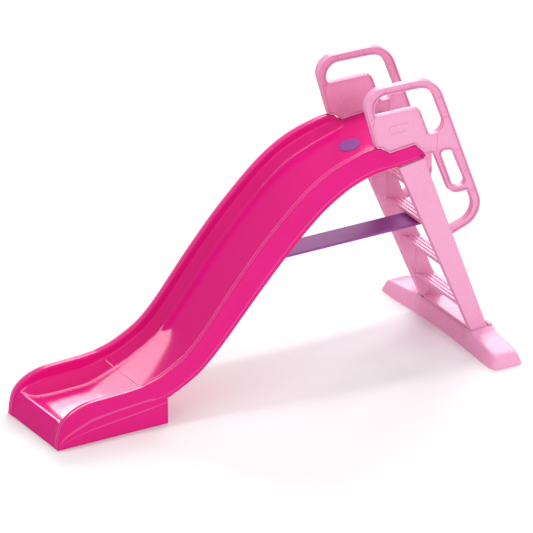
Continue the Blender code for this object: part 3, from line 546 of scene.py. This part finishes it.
def chute_section(station, side_points, step_in):
    """(x, y, z) control points of half a cross-section, from the lower outer edge to the middle."""
    rim, floor, skirt = station[0:2], station[2:4], station[4:6]
    half = CHUTE_HALF
    depths = (0.0, 0.0, 0.5 * step_in, 0.5 * step_in, step_in)
    rows = [(point, half - depth) for point, depth in zip(side_points, depths)]
    for distance, y in (
        (0.0190, step_in), (0.0160, 0.0026), (0.0130, 0.0004), (0.0070, 0.0), (0.0020, 0.0006),
    ):
        rows.append((towards(rim, skirt, distance), half - y))
    for distance, y in (
        (0.0002, 0.1825), (0.0000, 0.1775), (0.0032, 0.1715), (0.0000, 0.1655), (0.0003, 0.1605),
    ):
        rows.append((towards(rim, floor, distance), y))
    rows += [(towards(rim, floor, 0.0045), 0.1575), (towards(rim, floor, 0.0100), 0.1570)]
    for share, y in (
        (0.28, 0.1562), (0.40, 0.1552), (0.435, 0.1540), (0.46, 0.1500), (0.50, 0.1482), (0.62, 0.1430),
        (0.80, 0.1350), (0.90, 0.1300), (0.955, 0.1255), (0.987, 0.1190),
    ):
        rows.append((rim + share * (floor - rim), y))
    rows += [(floor, 0.1110), (floor, 0.1000), (floor, 0.0600), (floor, 0.0)]
    return [(p[0], y, p[1]) for p, y in rows]


def chute_skin(stations, shares_at, step_in, lines, end_side=None):
    """The chute through the stations: a smoothed skin with a wall behind it.

    shares_at(x) places the skirt's crease lines, and lines says on which rows a pale highlight is painted,
    and how strongly.
    """
    bm = bmesh.new()
    crease = bm.edges.layers.float.new("crease_edge")
    line = bm.verts.layers.float.new(HIGHLIGHT_LINE)
    grid = []
    for number, station in enumerate(stations):
        rim, skirt = station[0:2], station[4:6]
        side = [rim + share * (skirt - rim) for share in shares_at(rim[0])]
        if end_side and number == len(stations) - 1:
            side = [np.array(p) for p in end_side]
            station = np.concatenate([station[:4], end_side[-1]])
        half = chute_section(station, side, step_in)
        full = [(x, -y, z) for x, y, z in half] + half[-2::-1]
        grid.append([bm.verts.new(p) for p in full])
        # Weights of the painted highlight on the marked rows, on both sides
        for j, weight in lines.items():
            grid[-1][j][line] = grid[-1][-1 - j][line] = weight
    for row, above in zip(grid, grid[1:]):
        for j in range(len(row) - 1):
            bm.faces.new((row[j], above[j], above[j + 1], row[j + 1]))
    if end_side:
        end = grid[-1]
        wall = bm.faces.new((end[3], end[2], end[1], end[0], end[-1], end[-2], end[-3], end[-4]))
        for edge in wall.edges:
            edge[crease] = 1.0
    bmesh.ops.remove_doubles(bm, verts=bm.verts, dist=0.00005)
    return thicken(loose(bm, "skin"), 1, CHUTE_WALL)


def seam_flange(side):
    """The bolting plate under the seam, on one side of it."""
    down = (SEAM_FLOOR - SEAM_RIM).normalized()
    across = Vector((-down.z, 0, down.x))
    near = SEAM_FLOOR + down * 0.002
    far = SEAM_FLOOR + down * FLANGE_DEPTH
    inner = across * (0.0006 if side > 0 else 0.0)
    outer = across * (0.0046 if side > 0 else -0.004)
    corners = [(*p.xz, 0.0008) for p in (near + inner, far + inner, far + outer, near + outer)]
    return slab(corners, [], -FLANGE_HALF, FLANGE_HALF)


def run_out_shares(x):
    """Skirt lines of the run-out: two that rise from the toe and meet at the block's rear top corner."""
    low = float(np.interp(x, (0.0, 0.02, 0.20, 0.365), (0.86, 0.78, 0.69, 0.57)))
    high = float(np.interp(x, (0.0, 0.08, 0.15, 0.22, 0.30, 0.365), (0.74, 0.66, 0.54, 0.48, 0.44, 0.42)))
    return 1.0, low + 0.016, low - 0.016, high, high - 0.030


def make_run_out():
    stations = curve_through(RUN_OUT, STEPS_PER_STATION)
    end = [(BLOCK_REAR, z) for z in (0.0, 0.080, 0.084, BLOCK_TOP)] + [BLOCK_SEAM_FOOT]
    skin = chute_skin(stations, run_out_shares, 0.0030, RIM_HIGHLIGHTS | SKIRT_HIGHLIGHTS, end)
    mesh = on_ground(fuse(skin, [seam_flange(-1)]))
    show("run_out", mesh, CHUTE_PLASTIC, ["chute_lower"], flatten=False)


def make_slope():
    stations = curve_through(SLOPE, STEPS_PER_STATION)
    down = (SEAM_FLOOR - SEAM_RIM).normalized()
    across = np.array([-down.z, down.x])
    gaps = (SEAM_GAP, SEAM_GAP_FLOOR, SEAM_GAP)
    stations[0] = stations[0] + np.concatenate([across * gap for gap in gaps])
    skin = chute_skin(stations, lambda x: (1.0, 0.925, 0.890, 0.66, 0.61), 0.0016, RIM_HIGHLIGHTS | {2: 0.75})
    solids = [rod(PORT_POINT - PORT_AXIS * 0.007, PORT_AXIS, PORT_SEAT, 0.0068, 64)]
    low = BRACE_TOP + GAP
    web = [(SADDLE_X[0], low, 0.001), (SADDLE_X[0], SADDLE_FLOOR[0], 0.001)]
    web += [(SADDLE_X[1], SADDLE_FLOOR[1], 0.001), (SADDLE_X[1], low, 0.001)]
    for side, _ in SIDES:
        edges = sorted((side * (BRACE_HALF - CHUTE_WALL), side * BRACE_HALF))
        solids.append(slab(web, [], *edges))
    reach = BRACE_HALF + SADDLE_LIP
    foot = (SADDLE_X[0] - SADDLE_LIP, -reach, low), (SADDLE_X[1] + SADDLE_LIP, reach, low + CHUTE_WALL)
    solids.append(block(*foot, 0.0012))
    solids.append(seam_flange(1))
    for side, _ in SIDES:
        for x, z in SIDE_SCREWS:
            solids.append(rod((x, side * SIDE_BOSS_Y, z), (0, side, 0), BOSS, 0.0075))
    bore = rod(PORT_POINT - PORT_AXIS * 0.03, PORT_AXIS, PORT_BORE, 0.05, 64)
    mesh = fuse(skin, solids, [bore])
    show("slope", mesh, CHUTE_PLASTIC, ["chute_upper"], flatten=False)


# ---------------------------------------------------------------- handrails

def pill(x, z, length, height, tilt):
    """Corners of a round-ended bar centred at (x, z)."""
    turn = Matrix.Rotation(math.radians(tilt), 2)
    centre = Vector((x, z))
    half = Vector((length / 2, height / 2))
    signs = ((-1, -1), (-1, 1), (1, 1), (1, -1))
    ends = [centre + turn @ Vector((sx * half.x, sz * half.y)) for sx, sz in signs]
    return [(p.x, p.y, height * 0.48) for p in ends]


def bar_rib(start, end):
    """Corners of a thin rib across the bar between two points."""
    run = (Vector(end) - Vector(start)).normalized()
    across = Vector((-run.y, run.x)) * RIB_WIDTH / 2
    start, end = Vector(start) - run * 0.002, Vector(end)
    return [(*p, 0.0003) for p in (start - across, start + across, end + across, end - across)]


def make_handrail(side, word):
    low, high = RAIL_Y
    middle = (low + high) / 2
    edge = 0.0016
    web = slab(inset(RAIL, 0.001), [inset(WINDOW, -0.001), inset(OVAL, -0.001)],
               middle - RAIL_WEB / 2, middle + RAIL_WEB / 2)
    parts = [
        slab(RAIL, [inset(RAIL, RAIL_FLANGE)], low, high, edge),
        slab(inset(WINDOW, -RAIL_FLANGE), [WINDOW], low, high, edge),
        slab(inset(OVAL, -RAIL_FLANGE), [OVAL], low, high, edge),
        slab(inset(PLATE, 0.0005), [], middle - PLATE_THICK / 2, middle + PLATE_THICK / 2, 0.0026, 4),
        slab(LUG, [], *LUG_Y, 0.0015),
        slab(HOOK_TONGUE, [], *HOOK_Y),
        block(*RAIL_TAB, 0.001),
    ]
    ribs = [slab(bar_rib(*rib), [], middle - RIB_HALF, middle + RIB_HALF) for rib in RAIL_RIBS]
    region = slab(inset(RAIL, 0.0015), [inset(WINDOW, -0.0015), inset(OVAL, -0.0015)], low, high)
    parts.append(from_mesh(fuse(ribs[0], ribs[1:], within=[region])))
    for face in (-1, 1):
        level = middle + face * PLATE_THICK / 2
        for mark in (pill(1.4560, 0.9660, 0.084, 0.024, 1.5), pill(1.4570, 0.9430, 0.066, 0.0044, 1.5)):
            parts.append(slab(mark, [], *sorted((level - face * 0.002, level + face * 0.0016)), 0.0008, 2))
    mesh = fuse(mirror(web, side), [mirror(part, side) for part in parts])
    show("rail_" + word, mesh, FRAME_PLASTIC, ["handrail_" + word])


# ---------------------------------------------------------------- ladder

def rear_line(z):
    """How far back the treads and webs reach at a height."""
    x, level, slope = REAR_LINE
    return x + slope * (level - z)


def tread_slab(top):
    """A tread with rounded lips and grooves along it."""
    rear = rear_line(top) - 0.001
    front = rear - TREAD_DEPTH
    edge = 0.0024
    corners = [(front, top - TREAD_FRONT_LIP, 0.001), (front, top, edge)]
    pitch = (TREAD_DEPTH - 0.014) / TREAD_GROOVES
    for groove in range(TREAD_GROOVES):
        x = front + 0.011 + groove * pitch
        corners += [
            (x, top, 0.0010), (x + 0.0016, top - 0.0030, 0.0007),
            (x + 0.0042, top - 0.0030, 0.0007), (x + 0.0058, top, 0.0010),
        ]
    corners += [
        (rear, top, edge), (rear, top - TREAD_REAR_LIP, 0.001), (rear - 0.004, top - TREAD_REAR_LIP, 0.001),
        (rear - 0.004, top - TREAD_PLATE - 0.001, 0.002), (front + 0.004, top - TREAD_PLATE - 0.001, 0.002),
        (front + 0.004, top - TREAD_FRONT_LIP, 0.001),
    ]
    reach = STILE_Y[0] + 0.002
    return slab(corners, [], -reach, reach, 0, 3, 30)


def web_wall(bay, side):
    """A bay's side wall, swept from a crease on the stile to the rear edge and flared at its foot."""
    crease = rear_line(BAY_LEVELS[bay]) - 0.004 - TREAD_DEPTH
    low, high = BAY_FEET[bay], TREADS[bay] - TREAD_FRONT_LIP + 0.001
    wall = STILE_Y[0] + 0.002
    bm = bmesh.new()
    rings = []
    levels, columns = 12, 8
    for k in range(levels + 1):
        z = low + (high - low) * k / levels
        rear = rear_line(z) - 0.003
        foot = max(0.0, 1 - (z - low) / WEB_FLARE_HEIGHT)
        reach = WEB_REACH + WEB_FLARE * foot**2
        front, back = [], []
        for c in range(columns + 1):
            share = c / columns
            x = crease + share * (rear - crease)
            swell = share ** (0.85 - 0.25 * foot)
            y = wall - (reach + 0.002) * swell
            front.append((x, y))
            back.append((x + 0.0005 + 0.0020 * (1 - share), y + 0.0022 + 0.0028 * share))
        back[0] = (crease + 0.003, wall)
        rings.append([bm.verts.new((x, side * y, z)) for x, y in front + back[::-1]])
    bridge(bm, rings)
    bm.faces.new(rings[0])
    bm.faces.new(rings[-1])
    bmesh.ops.recalc_face_normals(bm, faces=bm.faces)
    return bm


def make_ladder():
    added, cuts = [], []
    for side, _ in SIDES:
        faces = sorted((side * STILE_Y[0], side * STILE_Y[1]))
        added.append(slab(STILE, [], *faces, 0.0030, 4))
        inside = sorted((side * (STILE_Y[0] + FRAME_WALL), side * (STILE_Y[1] - FRAME_WALL)))
        cuts.append(slab(STILE_POCKET, [], *inside))
        tongue = sorted((side * TONGUE_Y[0], side * TONGUE_Y[1]))
        low, high = zip(TONGUE_X, tongue, TONGUE_Z)
        added.append(block(low, high, 0.0012))
        for bay in range(len(TREADS)):
            added.append(web_wall(bay, side))
        seat = (TREAD_SCREW_X, side * BRACE_SCREW_Y, BRACE_TOP + GAP)
        added.append(rod(seat, (0, 0, 1), BOSS, 0.0170))
    for top in TREADS:
        added.append(tread_slab(top))
    reach = STILE_Y[0] + 0.002
    added.append(block((BOTTOM_RAIL[0], -reach, 0.0602), (BOTTOM_RAIL[1], reach, 0.070), 0.0040, 4))
    mesh = fuse(added.pop(0), added, cuts)
    show("ladder_frame", mesh, FRAME_PLASTIC, ["ladder"])


def make_foot_bar():
    bm = bmesh.new()
    rows = []
    for y, x0, x1, x2, x3, top in [(-row[0], *row[1:]) for row in BAR[:0:-1]] + BAR:
        edge = min(0.012, top * 0.4)
        points = [
            (x0, 0.0), (x0 + (x1 - x0) * 0.10, top * 0.12), (x0 + (x1 - x0) * 0.48, top * 0.5),
            (x1 - (x1 - x0) * 0.16, top - edge), (x1 + edge * 0.1, top - edge * 0.25), (x1 + edge * 0.9, top),
            ((x1 + x2) / 2, top), (x2 - edge * 0.9, top), (x2 - edge * 0.1, top - edge * 0.25),
            (x2 + (x3 - x2) * 0.25, top - edge), (x3 - (x3 - x2) * 0.42, top * 0.5),
            (x3 - (x3 - x2) * 0.08, top * 0.12), (x3, 0.0),
        ]
        rows.append([bm.verts.new((x, y, z)) for x, z in points])
    for row, beyond in zip(rows, rows[1:]):
        for j in range(len(row) - 1):
            bm.faces.new((row[j], row[j + 1], beyond[j + 1], beyond[j]))
    for row in (rows[0], rows[-1]):
        bm.faces.new(row)
    bmesh.ops.recalc_face_normals(bm, faces=bm.faces)
    skin = thicken(loose(bm, "bar"), 2, BAR_WALL)
    added, cuts = [], []
    for side, _ in SIDES:
        inner, outer = sorted((side * SOCKET_Y[0], side * SOCKET_Y[1]))
        low = (SOCKET_X[0] - FRAME_WALL, inner - FRAME_WALL, 0.0262)
        high = (SOCKET_X[1] + FRAME_WALL, outer + FRAME_WALL, 0.0574)
        added.append(block(low, high, 0.0015))
        added.append(slab(FRONT_COLLAR, [], inner, outer, 0.0015))
        added.append(slab(REAR_COLLAR, [], inner, outer, 0.0030, 4))
        cuts.append(block((SOCKET_X[0], inner, 0.0302), (SOCKET_X[1], outer, 0.0700), 0))
        inner, outer = sorted((side * MOUTH_INNER, side * SOCKET_Y[1]))
        cuts.append(block((MOUTH_X[0], inner, 0.0598), (MOUTH_X[1], outer, 0.0850), 0))
    mesh = on_ground(fuse(skin, added, cuts, solver="EXACT"))
    show("foot_bar", mesh, FRAME_PLASTIC, ["base_bar"], flatten=False)


def make_brace():
    """A flat board, hollow from below, with four screw holes."""
    low, high = BRACE_TOP - BRACE_THICK, BRACE_TOP
    board = block((BRACE_X[0], -BRACE_HALF, low), (BRACE_X[1], BRACE_HALF, high), 0.0022, 3)
    inside = (
        (BRACE_X[0] + FRAME_WALL, -BRACE_HALF + FRAME_WALL, low - 0.002),
        (BRACE_X[1] - FRAME_WALL, BRACE_HALF - FRAME_WALL, high - FRAME_WALL),
    )
    cuts = [block(*inside, 0.001)]
    for side, _ in SIDES:
        for x in (CHUTE_SCREW_X, TREAD_SCREW_X):
            cuts.append(rod((x, side * BRACE_SCREW_Y, 0.470), (0, 0, 1), BRACE_BORE, 0.025, 20))
    mesh = fuse(board, [], cuts)
    show("brace", mesh, TRIM_PLASTIC, ["brace_board"])


def make_port_cap():
    """A domed cap with a skirt that plugs into the port."""
    profile = (
        (0.0, 0.0040), (0.012, 0.0040), (0.024, 0.0038), (0.031, 0.0035), (0.0355, 0.0030),
        (0.0385, 0.0021), (0.0400, 0.0011), (0.0404, 0.0003), (0.0400, 0.0), (0.0280, 0.0),
        (0.0280, -0.0115), (0.0275, -0.0120), (0.0255, -0.0120), (0.0250, -0.0115),
        (0.0250, -0.0004), (0.0, -0.0004),
    )
    bm = bmesh.new()
    rings = []
    for radius, z in profile:
        if radius == 0:
            rings.append([bm.verts.new((0, 0, z))] * CAP_SIDES)
            continue
        turns = [2 * math.pi * k / CAP_SIDES for k in range(CAP_SIDES)]
        rings.append([bm.verts.new((radius * math.cos(t), radius * math.sin(t), z)) for t in turns])
    for ring, beyond in zip(rings, rings[1:]):
        for k in range(CAP_SIDES):
            corners = [ring[k - 1], ring[k], beyond[k], beyond[k - 1]]
            unique = [v for n, v in enumerate(corners) if v not in corners[:n]]
            bm.faces.new(unique)
    bmesh.ops.recalc_face_normals(bm, faces=bm.faces)
    turn = Vector((0, 0, 1)).rotation_difference(PORT_AXIS).to_matrix().to_4x4()
    matrix = Matrix.Translation(PORT_POINT + PORT_AXIS * GAP) @ turn
    bmesh.ops.transform(bm, matrix=matrix, verts=bm.verts)
    mesh = fuse(bm, [])
    show("deck_cap", mesh, TRIM_PLASTIC, ["port_cap"], "cap", 50)


make_run_out()
make_slope()
for side, word in SIDES:
    make_handrail(side, word)
make_ladder()
make_foot_bar()
make_brace()
make_port_cap()

# The socket, screws, bolts and nuts keep their CAD shapes.
for name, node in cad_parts.items():
    if not node.hide_render:
        node.data.materials.clear()
        node.data.materials.append(TRIM_PLASTIC if name == "hose_socket" else SCREW_STEEL)


# ---------------------------------------------------------------- floor, light and camera

def make_floor():
    bm = bmesh.new()
    bmesh.ops.create_grid(bm, x_segments=1, y_segments=1, size=60)
    floor = loose(bm, "studio_floor")
    material = bpy.data.materials.new("floor_white")
    material.use_nodes = True
    shader = material.node_tree.nodes["Principled BSDF"]
    shader.inputs["Base Color"].default_value = (0.93, 0.93, 0.93, 1)
    shader.inputs["Roughness"].default_value = 0.9
    shader.inputs["Specular IOR Level"].default_value = 0.1
    floor.data.materials.append(material)
    floor.location.z = -0.0005
    floor.visible_glossy = False


def area(name, place, target, width, height, power):
    """A white rectangular lamp at place that faces target."""
    light = bpy.data.lights.new(name, "AREA")
    light.shape = "RECTANGLE"
    light.size = width
    light.size_y = height
    light.energy = power
    lamp = bpy.data.objects.new(name, light)
    bpy.context.scene.collection.objects.link(lamp)
    lamp.location = place
    lamp.rotation_euler = (Vector(target) - Vector(place)).to_track_quat("-Z", "Y").to_euler()
    return lamp


def make_light():
    """White surroundings that light evenly but reflect dimly, and cards that draw the highlights."""
    world = bpy.data.worlds.new("studio")
    world.use_nodes = True
    tree = world.node_tree
    background = tree.nodes["Background"]
    background.inputs["Color"].default_value = (1, 1, 1, 1)
    path = tree.nodes.new("ShaderNodeLightPath")
    strength = tree.nodes.new("ShaderNodeMapRange")
    strength.inputs["To Min"].default_value = 0.66
    strength.inputs["To Max"].default_value = 0.22
    link(tree, path, "Is Glossy Ray", strength, "Value")
    link(tree, strength, "Result", background, "Strength")
    bpy.context.scene.world = world
    area("overhead", (-0.3, -0.6, 4.2), (0, 0, 0.3), 2.6, 2.6, 9)
    key = area("side_key", (0.6, -4.5, 1.6), (0.1, 0, 0.5), 2.4, 1.6, 47)
    key.visible_glossy = False
    area("strip", (0.0, 0.45, 4.7), (0, 0.2, 0.4), 6.0, 0.35, 60)
    area("back_card", (7.3, 9.2, 7.6), (0, 0, 0.3), 8.3, 7.5, 1050)
    sheen = area("run_out_sheen", (-0.62, 0.145, 0.165), (-0.62, -0.4, 0.12), 0.56, 0.22, 1.8)
    sheen.visible_diffuse = False


def make_camera():
    azimuth, elevation = math.radians(-30.3), math.radians(25.2)
    lens, view_width = 900, 1.972
    centre = Vector((0.062, 0, 0.436))
    level = math.cos(elevation)
    back = Vector((math.sin(azimuth) * level, -math.cos(azimuth) * level, math.sin(elevation)))
    camera = bpy.data.cameras.new("camera")
    camera.lens = lens
    camera.sensor_width = 36
    camera.clip_end = 200
    holder = bpy.data.objects.new("camera", camera)
    bpy.context.scene.collection.objects.link(holder)
    holder.location = centre + back * view_width * lens / camera.sensor_width
    holder.rotation_euler = back.to_track_quat("Z", "Y").to_euler()
    bpy.context.scene.camera = holder
    bpy.context.scene.view_settings.view_transform = "Standard"


make_floor()
make_light()
make_camera()
